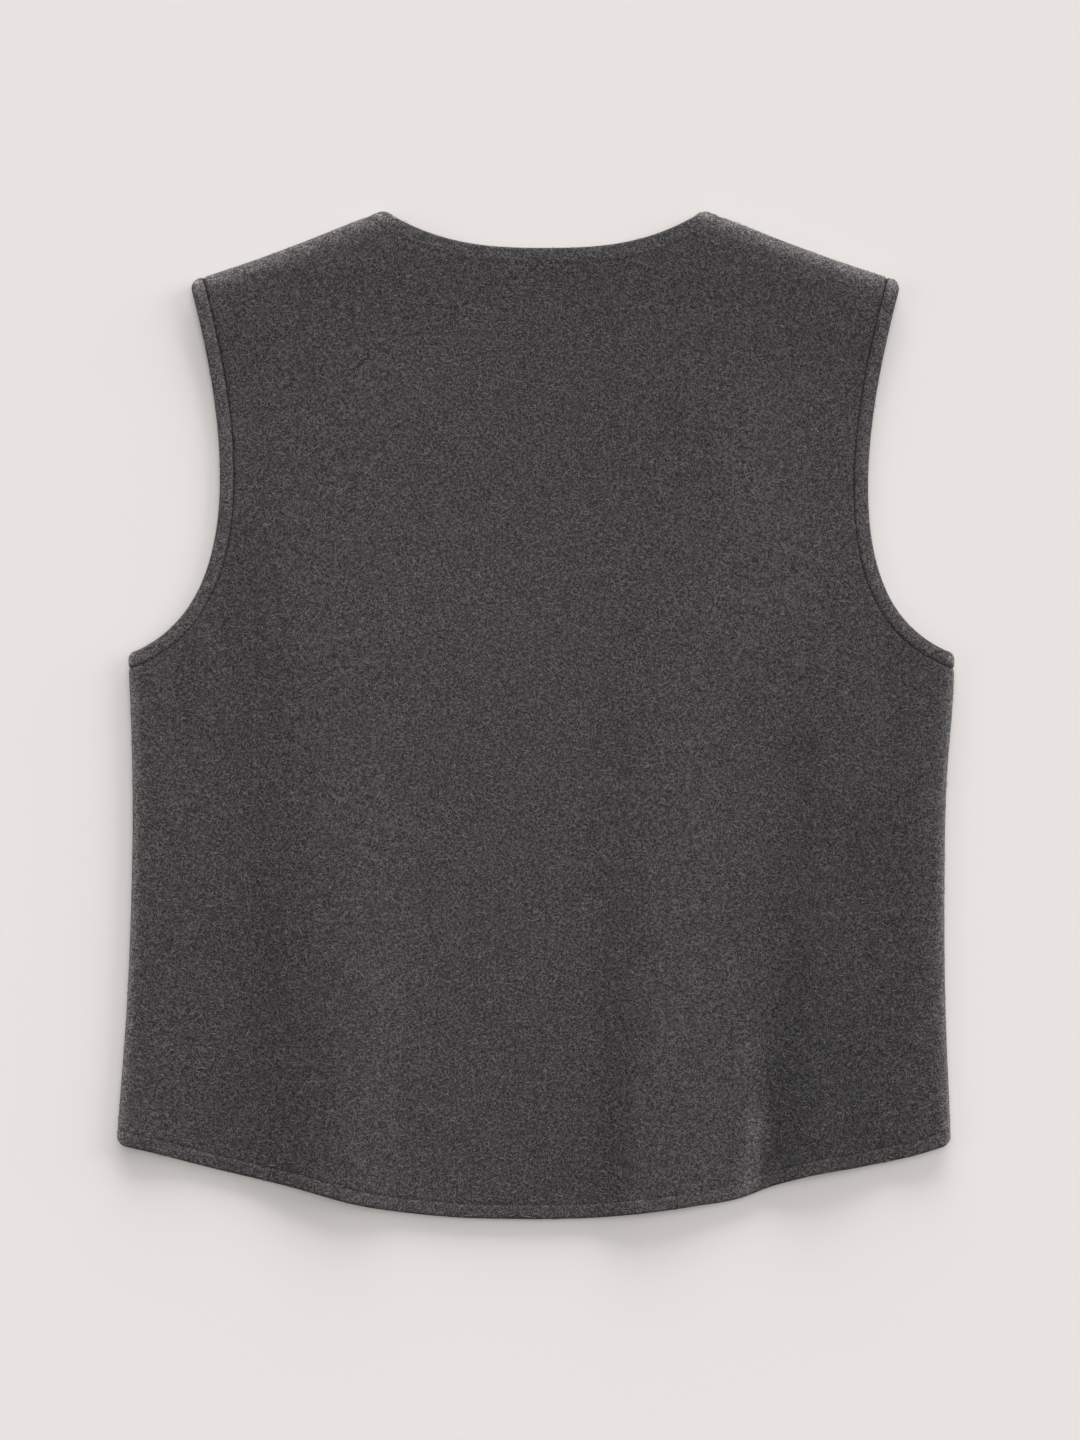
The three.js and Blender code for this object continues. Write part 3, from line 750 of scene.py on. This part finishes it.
front_v = between_folds(front_neck["seam"], (middle_depth, 0), (shoulder_depth, beyond))
front_v[0, 0] = 0
front_arm = between_folds(front_armhole["seam"], (shoulder_depth, beyond), (side_depth, beyond))[::-1]
front_bottom = trimmed(front_hem["seam"], lambda x, y: side_depth(x, y) - beyond)
front_y = front_bottom[0, 1] + (front_arm[0, 1] - front_bottom[0, 1]) * graded(SIDE_CELLS)
front_right = np.vstack([beside_side(front_y, beyond)[:-1], spread(front_arm, graded(ARMHOLE_CELLS))])
front_shoulder = beside_shoulder(front_v[-1], front_right[-1], graded(PLAIN_CELLS), beyond)
half_v = spread(front_v, graded(V_CELLS))
half_top = np.vstack([half_v[:-1], front_shoulder])
front_top = np.vstack([mirrored(half_top[1:])[::-1], half_top])
whole_bottom = np.vstack([mirrored(front_bottom), front_bottom[::-1][1:]])
front_low = spread(whole_bottom, runs(front_top) / runs(front_top)[-1])
front_low[0], front_low[-1] = mirrored(front_right[:1])[0], front_right[0]
front_top[0], front_top[-1] = mirrored(front_right[-1:])[0], front_right[-1]

front_panel = panel(
    "front_cloth", [patch(UNDER, front_low, front_top, mirrored(front_right), front_right)], body_wool,
)
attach(front_panel, "root")
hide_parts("front_panel")

# ------------------------------------------------------------------------------------------------
# Bands. The free edges are finished with a narrow band of the same wool, turned, pressed and
# stitched down. Each is one loop that goes round the vest in both layers.
# ------------------------------------------------------------------------------------------------
ROUND_EDGE = 1.3 * MM
BAND_PARTS = graded(14, 0.8, 3)
ARMHOLE_STATIONS, BACK_NECK_STATIONS, FRONT_NECK_STATIONS, HEM_STATIONS = 150, 70, 110, 150
# Radii of a band's free edge where it turns over the side fold and over the shoulder fold
ARMHOLE_CORNERS = (2.8 * MM, 4.6 * MM)
NECK_CORNERS = (3 * MM, 3 * MM)
HEM_CORNERS = (4.6 * MM, 4.6 * MM)
BAND_GROUND, BAND_FIBRE = (0.0136, 0.0125, 0.013, 1.0), (0.1305, 0.1213, 0.1234, 1.0)
band_wool = felted_wool("felted_wool_band", BAND_GROUND, BAND_FIBRE)


def rounding(free, side_radius, shoulder_radius):
    """How far a band's free edge draws back at its corners on the folds, as seen from above"""
    side, shoulder = side_depth(*free.T), shoulder_depth(*free.T)
    depth, radius = np.minimum(side, shoulder), np.where(side < shoulder, side_radius, shoulder_radius)
    inset = ROLL_DEPTH * (1 - np.cos(np.clip(depth / ROLL_DEPTH, 0, 1) * math.pi / 2))
    return radius - np.sqrt(radius ** 2 - (radius - np.minimum(inset, radius)) ** 2)


def half_round(lines, layer, cells, radii):
    """Stations of half a band in one layer: a row of x, y, layer for each part of its width"""
    parts = graded(cells, 0.86, 4)
    free, sewn = spread(lines["free"], parts), spread(lines["sewn"], parts)
    width = np.linalg.norm(sewn - free, axis=1)
    drawn = (rounding(free, *radii) / width)[:, None]
    free = free + (sewn - free) * drawn
    across = free[:, None] + (sewn - free)[:, None] * BAND_PARTS[:, None]
    return np.dstack([across, np.full(across.shape[:2], layer)])


def band(name, rounds, width, seam, material):
    """A closed loop of band from its stations, rounded at its free edge and pulled in at its seam"""
    stations = np.concatenate([part[:-1] for part in rounds])
    from_free = np.tile(BAND_PARTS * width, len(stations))
    cut = stations.reshape(-1, 3)
    edge = WALL / 2 * np.sqrt(1 - (1 - np.minimum(from_free / ROUND_EDGE, 1)) ** 2)
    pulled = pull(cut, width - from_free, seam)
    half, y, layer = np.abs(cut[:, 0]), cut[:, 1], cut[:, 2]
    on_top = (layer == TOP) * ease(np.minimum(side_depth(half, y), shoulder_depth(half, y)), 0, ROLL_DEPTH)
    crown = seam["crown"] * on_top * np.sin(math.pi * from_free / width)
    outer = lay(cut, edge + crown - pulled).reshape(len(stations), -1, 3)
    inner = lay(cut, -edge).reshape(len(stations), -1, 3)
    section = np.concatenate([outer, inner[:, :0:-1]], axis=1)
    # Painted light over the whole band, with the painted highlights and shade of the panels
    light = seam["nap"] * nap(cut, pulled).reshape(len(stations), -1)
    light = np.concatenate([light, light[:, :0:-1]], axis=1).ravel()
    sides = section.shape[1]
    index = np.arange(len(stations) * sides).reshape(-1, sides)
    ahead = np.roll(index, -1, axis=0)
    corners = [index, ahead, np.roll(ahead, -1, axis=1), np.roll(index, -1, axis=1)]
    faces = np.stack([corner.ravel() for corner in corners], -1).tolist()
    shown = np.arange(len(faces)) % sides < len(BAND_PARTS) - 1
    piece = outward(new_mesh(name, section.reshape(-1, 3), faces, light, shown, material))
    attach(piece, "root")
    return piece


def mirrored_stations(stations):
    return stations * (-1, 1, 1)


armhole_rounds = [
    half_round(back_armhole, TOP, ARMHOLE_STATIONS, ARMHOLE_CORNERS),
    half_round(front_armhole, UNDER, ARMHOLE_STATIONS, ARMHOLE_CORNERS)[::-1],
]
armhole_right = band("armhole_edge_right", armhole_rounds, ARMHOLE_BAND, ARMHOLE_SEAM, band_wool)
armhole_left = band(
    "armhole_edge_left", [mirrored_stations(part) for part in armhole_rounds],
    ARMHOLE_BAND, ARMHOLE_SEAM, band_wool,
)
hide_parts("armhole_band_right")
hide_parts("armhole_band_left")


def whole_round(out_back, out_front):
    """Stations right round, out on the back's right half and on from there"""
    return [
        out_back, out_front[::-1],
        mirrored_stations(out_front), mirrored_stations(out_back)[::-1],
    ]


neck = band("neck_edge", whole_round(
    half_round(back_neck, TOP, BACK_NECK_STATIONS, NECK_CORNERS),
    half_round(front_neck, UNDER, FRONT_NECK_STATIONS, NECK_CORNERS),
), NECK_BAND, NECK_SEAM, band_wool)
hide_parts("neck_band")

hem = band("hem_edge", whole_round(
    half_round(back_hem, TOP, HEM_STATIONS, HEM_CORNERS)[::-1],
    half_round(front_hem, UNDER, HEM_STATIONS, HEM_CORNERS)[::-1],
), HEM_BAND, HEM_SEAM, band_wool)
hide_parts("hem_band")

# ------------------------------------------------------------------------------------------------
# Stitching. A dark thread sews each band to its panel in one row that runs right round, sunk in
# the groove that it pulls into the thick wool.
# ------------------------------------------------------------------------------------------------
STITCH = {"Pitch": 3.2 * MM, "Length": 2.7 * MM, "Thread": 0.5 * MM}


class Pattern(Graph):
    """A tree of geometry nodes with named inputs"""

    def __init__(self, name, inputs):
        self.tree = bpy.data.node_groups.new(name, "GeometryNodeTree")
        self.tree.interface.new_socket("Geometry", in_out="INPUT", socket_type="NodeSocketGeometry")
        for key, kind in inputs.items():
            self.tree.interface.new_socket(key, in_out="INPUT", socket_type=f"NodeSocket{kind}")
        self.tree.interface.new_socket("Geometry", in_out="OUTPUT", socket_type="NodeSocketGeometry")
        self.given = self.tree.nodes.new("NodeGroupInput")

    def input(self, name):
        return Value(self, self.given.outputs[name])

    def finish(self, instances):
        """Ends the tree in plain faces of one material"""
        real = self.node("GeometryNodeRealizeInstances", {}, {"Geometry": instances})
        ready = self.node("GeometryNodeSetMaterial", {}, {
            "Geometry": real, "Material": self.input("Material"),
        })
        self.node("NodeGroupOutput", {}, {"Geometry": ready})

    def made(self, name, base, values):
        """The plain mesh that the tree makes from a base mesh, which it uses up"""
        guide = bpy.data.objects.new(name, base)
        bpy.context.scene.collection.objects.link(guide)
        modifier = guide.modifiers.new(name, "NODES")
        modifier.node_group = self.tree
        for item in self.tree.interface.items_tree:
            if item.name in values:
                value = values[item.name]
                modifier[item.identifier] = float(value) if item.socket_type == "NodeSocketFloat" else value
        graph = bpy.context.evaluated_depsgraph_get()
        mesh = bpy.data.meshes.new_from_object(guide.evaluated_get(graph), depsgraph=graph)
        guide.modifiers.remove(modifier)
        bpy.data.objects.remove(guide)
        bpy.data.meshes.remove(base)
        mesh.name = name
        piece = bpy.data.objects.new(name, mesh)
        bpy.context.scene.collection.objects.link(piece)
        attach(piece, "root")
        return piece


def stitch_pattern():
    """Long low beads of thread, end to end along every edge of the base mesh"""
    row = Pattern("stitches", {
        "Pitch": "Float", "Length": "Float", "Thread": "Float", "Material": "Material",
    })
    path = row.node("GeometryNodeMeshToCurve", {}, {"Mesh": row.input("Geometry")})
    spaced = row.node("GeometryNodeCurveToPoints", {"mode": "LENGTH"}, {
        "Curve": path, "Length": row.input("Pitch"),
    })
    tangent = Value(row, spaced.socket.node.outputs["Tangent"])
    along = row.node("FunctionNodeAlignRotationToVector", {"axis": "Z"}, {"Vector": tangent})
    bead = row.node("GeometryNodeMeshUVSphere", {}, {"Segments": 6, "Rings": 4, "Radius": 0.5})
    size = row.node("ShaderNodeCombineXYZ", {}, {
        "X": row.input("Thread"), "Y": row.input("Thread"), "Z": row.input("Length"),
    })
    uneven = row.node("FunctionNodeRandomValue", {"data_type": "FLOAT_VECTOR"}, {
        "Min": (0.85, 0.85, 0.8), "Max": (1.1, 1.1, 1.0), "Seed": 5,
    })
    beads = row.node("GeometryNodeInstanceOnPoints", {}, {
        "Points": spaced, "Instance": bead, "Rotation": along,
        "Scale": row.vector("MULTIPLY", size, uneven),
    })
    row.finish(beads)
    return row


def sewn_round(back, front, seam, whole):
    """The loop that a row of stitches follows, in the bottom of its groove"""
    out = np.column_stack([back["sewn"], np.full(len(back["sewn"]), TOP)])
    home = np.column_stack([front["sewn"], np.full(len(front["sewn"]), UNDER)])[::-1]
    stretches = [out, home]
    if whole:
        stretches += [mirrored_stations(home)[::-1], mirrored_stations(out)[::-1]]
    cut = np.vstack([stretch[:-1] for stretch in stretches])
    return lay(cut[::3], WALL / 2 - seam["thread"] * tightened(cut[::3], seam))


thread = Shader("dark_thread")
spun = thread.node("ShaderNodeBsdfPrincipled", {}, {
    "Base Color": (0.012, 0.0115, 0.012, 1.0), "Roughness": 0.75, "Specular IOR Level": 0.2,
})
thread.node("ShaderNodeOutputMaterial", {}, {"Surface": spun})

armhole_round = sewn_round(back_armhole, front_armhole, ARMHOLE_SEAM, whole=False)
other_round = sewn_round(
    {"sewn": mirrored(back_armhole["sewn"])}, {"sewn": mirrored(front_armhole["sewn"])},
    ARMHOLE_SEAM, whole=False,
)
neck_round = sewn_round(back_neck, front_neck, NECK_SEAM, whole=True)
hem_round = sewn_round(
    {"sewn": back_hem["sewn"][::-1]}, {"sewn": front_hem["sewn"][::-1]}, HEM_SEAM, whole=True,
)
places, edges = [], []
for loop in (armhole_round, other_round, neck_round, hem_round):
    own = np.arange(len(loop)) + sum(map(len, places))
    places.append(loop)
    edges.append(np.column_stack([own, np.roll(own, -1)]))
rows = bpy.data.meshes.new("stitch_rows")
rows.from_pydata(np.concatenate(places).tolist(), np.concatenate(edges).tolist(), [])
stitching = stitch_pattern().made("stitching", rows, {**STITCH, "Material": thread.material})

# ------------------------------------------------------------------------------------------------
# Nap. Loose curls of light, grey and dark fibre that stand a little out of the felt: on the back
# and the bands from above, and pressed flat on the front's underside.
# ------------------------------------------------------------------------------------------------
FIBRE_RADIUS, FIBRE_SPANS, FIBRE_SUNK = 0.1 * MM, 4, 0.3
CURL_REACH, CLEARANCE = 2 * MM, -0.05 * MM
CURL_SHAPES = {
    "light": {"length": 3.2 * MM, "bend": 0.85 * MM, "waves": 1, "lift": 0.3 * MM},
    "grey": {"length": 3.0 * MM, "bend": 0.5 * MM, "waves": 2, "lift": 0.06 * MM},
    "dark": {"length": 3.2 * MM, "bend": 0.6 * MM, "waves": 1, "lift": 0.25 * MM},
}
CURL_COLOURS = {"light": (0.2, 0.188, 0.19), "grey": (0.13, 0.122, 0.124), "dark": (0.012, 0.011, 0.0115)}


def fibre_curl(name, length, bend, waves, lift):
    """A closed three-sided curl of fibre, pointed at both ends"""
    part = np.linspace(0, 1, FIBRE_SPANS + 1)
    swing = bend * np.sin(math.pi * waves * part)
    height = lift * (np.sin(math.pi * part) - FIBRE_SUNK)
    line = np.column_stack([length * (part - 0.5), swing, height])
    run = np.gradient(line[:, :2], axis=0)
    side = np.column_stack([-run[:, 1], run[:, 0]]) / np.linalg.norm(run, axis=1)[:, None]
    places = [line[0]]
    for k in range(1, FIBRE_SPANS):
        for angle in (math.pi / 2, math.pi * 7 / 6, math.pi * 11 / 6):
            across = side[k] * math.cos(angle)
            places.append(line[k] + np.array((*across, math.sin(angle))) * FIBRE_RADIUS)
    places.append(line[-1])
    tip, faces = len(places) - 1, []
    for j in range(3):
        after = (j + 1) % 3
        faces += [(0, 1 + after, 1 + j), (tip, tip - 3 + j, tip - 3 + after)]
        for k in range(1, 3 * (FIBRE_SPANS - 2), 3):
            faces.append((k + j, k + after, k + after + 3, k + j + 3))
    mesh = bpy.data.meshes.new(name)
    mesh.from_pydata([tuple(place) for place in places], [], faces)
    curl = bpy.data.objects.new(name, mesh)
    bpy.context.scene.collection.objects.link(curl)
    return outward(curl)


def nap_pattern():
    """Curls scattered over the base's faces, each turned its own way and lying nearly flat"""
    scatter = Pattern("nap", {
        "Density": "Float", "Seed": "Int", "Smallest": "Float", "Largest": "Float",
        "Curl": "Object", "Material": "Material",
    })
    points = scatter.node("GeometryNodeDistributePointsOnFaces", {}, {
        "Mesh": scatter.input("Geometry"), "Density": scatter.input("Density"),
        "Seed": scatter.input("Seed"),
    })
    laid = Value(scatter, points.socket.node.outputs["Rotation"])
    turn = scatter.node("FunctionNodeRandomValue", {"data_type": "FLOAT_VECTOR"}, {
        "Min": (-0.12, -0.12, 0.0), "Max": (0.12, 0.12, math.tau), "Seed": scatter.input("Seed"),
    })
    turn = scatter.node("FunctionNodeEulerToRotation", {}, {"Euler": turn})
    turned = scatter.node("FunctionNodeRotateRotation", {"rotation_space": "LOCAL"}, {
        "Rotation": laid, "Rotate By": turn,
    })
    size = scatter.node("FunctionNodeRandomValue", {"data_type": "FLOAT"}, {
        2: scatter.input("Smallest"), 3: scatter.input("Largest"), "Seed": scatter.input("Seed"),
    }, output=1)
    shape = scatter.node("GeometryNodeObjectInfo", {}, {"Object": scatter.input("Curl")}, "Geometry")
    curls = scatter.node("GeometryNodeInstanceOnPoints", {}, {
        "Points": points, "Instance": shape, "Rotation": turned, "Scale": size,
    })
    scatter.finish(curls)
    return scatter


def shown_faces(name, pieces, lowest):
    """A bare mesh of the pieces' shown faces where no curl reaches through what the vest lies on"""
    places, faces, start = [], [], 0
    for piece in pieces:
        mesh = piece.data
        own = np.empty(len(mesh.vertices) * 3)
        mesh.vertices.foreach_get("co", own)
        shown = np.empty(len(mesh.polygons), dtype=bool)
        mesh.attributes["shown"].data.foreach_get("value", shown)
        corners = np.empty(len(mesh.loops), dtype=int)
        mesh.loops.foreach_get("vertex_index", corners)
        own, corners = own.reshape(-1, 3), corners.reshape(-1, 4)[shown]
        a, b, c, d = own[corners].transpose(1, 0, 2)
        facing = np.cross(c - a, d - b)
        facing /= np.linalg.norm(facing, axis=1)[:, None]
        clear = (a + c)[:, 2] / 2 - CURL_REACH * np.hypot(facing[:, 0], facing[:, 1])
        places.append(own)
        faces.append(corners[(facing[:, 2] >= lowest) & (clear > CLEARANCE)] + start)
        start += len(mesh.vertices)
    host = bpy.data.meshes.new(name)
    host.from_pydata(np.concatenate(places).tolist(), [], np.concatenate(faces).tolist())
    return host


BACK_HOSTS = [back_panel, armhole_right, armhole_left, neck, hem]
NAP = {
    "nap_light": {"hosts": BACK_HOSTS, "lowest": -0.3, "curl": "light", "density": 34000},
    "nap_dark": {"hosts": BACK_HOSTS, "lowest": -0.3, "curl": "dark", "density": 12000},
    "nap_grey": {"hosts": [front_panel], "lowest": -1.0, "curl": "grey", "density": 24000},
}
scatter = nap_pattern()
for seed, (name, layer) in enumerate(NAP.items(), start=1):
    fibre = Shader(f"fibre_{layer['curl']}")
    dyed = fibre.node("ShaderNodeBsdfPrincipled", {}, {
        "Base Color": (*CURL_COLOURS[layer["curl"]], 1.0), "Roughness": 0.9,
        "Specular IOR Level": 0.15,
    })
    fibre.node("ShaderNodeOutputMaterial", {}, {"Surface": dyed})
    curl = fibre_curl(f"curl_{layer['curl']}", **CURL_SHAPES[layer["curl"]])
    curls = scatter.made(name, shown_faces(name, layer["hosts"], layer["lowest"]), {
        "Density": layer["density"], "Seed": seed, "Smallest": 0.65, "Largest": 1.25,
        "Curl": curl, "Material": fibre.material,
    })
    bpy.data.objects.remove(curl)

# ------------------------------------------------------------------------------------------------
# Camera, floor and light: straight above a plain pale floor, lit softly from overhead, from the
# neck's side and a little from the right.
# ------------------------------------------------------------------------------------------------
FRAME_HEIGHT = 0.864
VIEW_CENTRE = (0.003, -0.0027)
LENS, SENSOR = 85, 36
camera_data = bpy.data.cameras.new("camera")
camera_data.lens = LENS
camera_data.sensor_width = SENSOR
camera = bpy.data.objects.new("camera", camera_data)
camera.location = (*VIEW_CENTRE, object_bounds()[1].z / 2 + FRAME_HEIGHT * LENS / SENSOR)
bpy.context.scene.collection.objects.link(camera)
bpy.context.scene.camera = camera

FLOOR = 6.0
floor_mesh = bpy.data.meshes.new("floor")
corners = [(-FLOOR, -FLOOR, 0), (FLOOR, -FLOOR, 0), (FLOOR, FLOOR, 0), (-FLOOR, FLOOR, 0)]
floor_mesh.from_pydata(corners, [], [(0, 1, 2, 3)])
floor = bpy.data.objects.new("floor", floor_mesh)
bpy.context.scene.collection.objects.link(floor)
paint = Shader("pale_floor")
plain = paint.node("ShaderNodeBsdfPrincipled", {}, {
    "Base Color": (0.700, 0.664, 0.648, 1.0), "Roughness": 0.9, "Specular IOR Level": 0.1,
})
paint.node("ShaderNodeOutputMaterial", {}, {"Surface": plain})
floor_mesh.materials.append(paint.material)

# Each soft sun's elevation, azimuth right of +Y and width in degrees, and its strength
LIGHTS = {
    "neck_left": (13, -10, 30, 2.2),
    "neck_right": (13, 16, 30, 2.5),
    "right_side": (16, 66, 42, 2.3),
    "left_side": (28, -90, 30, 0.4),
    "overhead": (84, 20, 50, 1.48),
}
for name, (elevation, azimuth, width, strength) in LIGHTS.items():
    light = bpy.data.lights.new(name, "SUN")
    light.energy = strength
    light.angle = math.radians(width)
    lamp = bpy.data.objects.new(name, light)
    lamp.rotation_euler = (math.radians(elevation - 90), 0, math.radians(-azimuth))
    bpy.context.scene.collection.objects.link(lamp)

world = bpy.data.worlds.new("studio")
world.use_nodes = True
world.node_tree.nodes["Background"].inputs["Color"].default_value = (1.0, 1.0, 1.0, 1.0)
world.node_tree.nodes["Background"].inputs["Strength"].default_value = 0.09
bpy.context.scene.world = world
bpy.context.scene.view_settings.view_transform = "Standard"
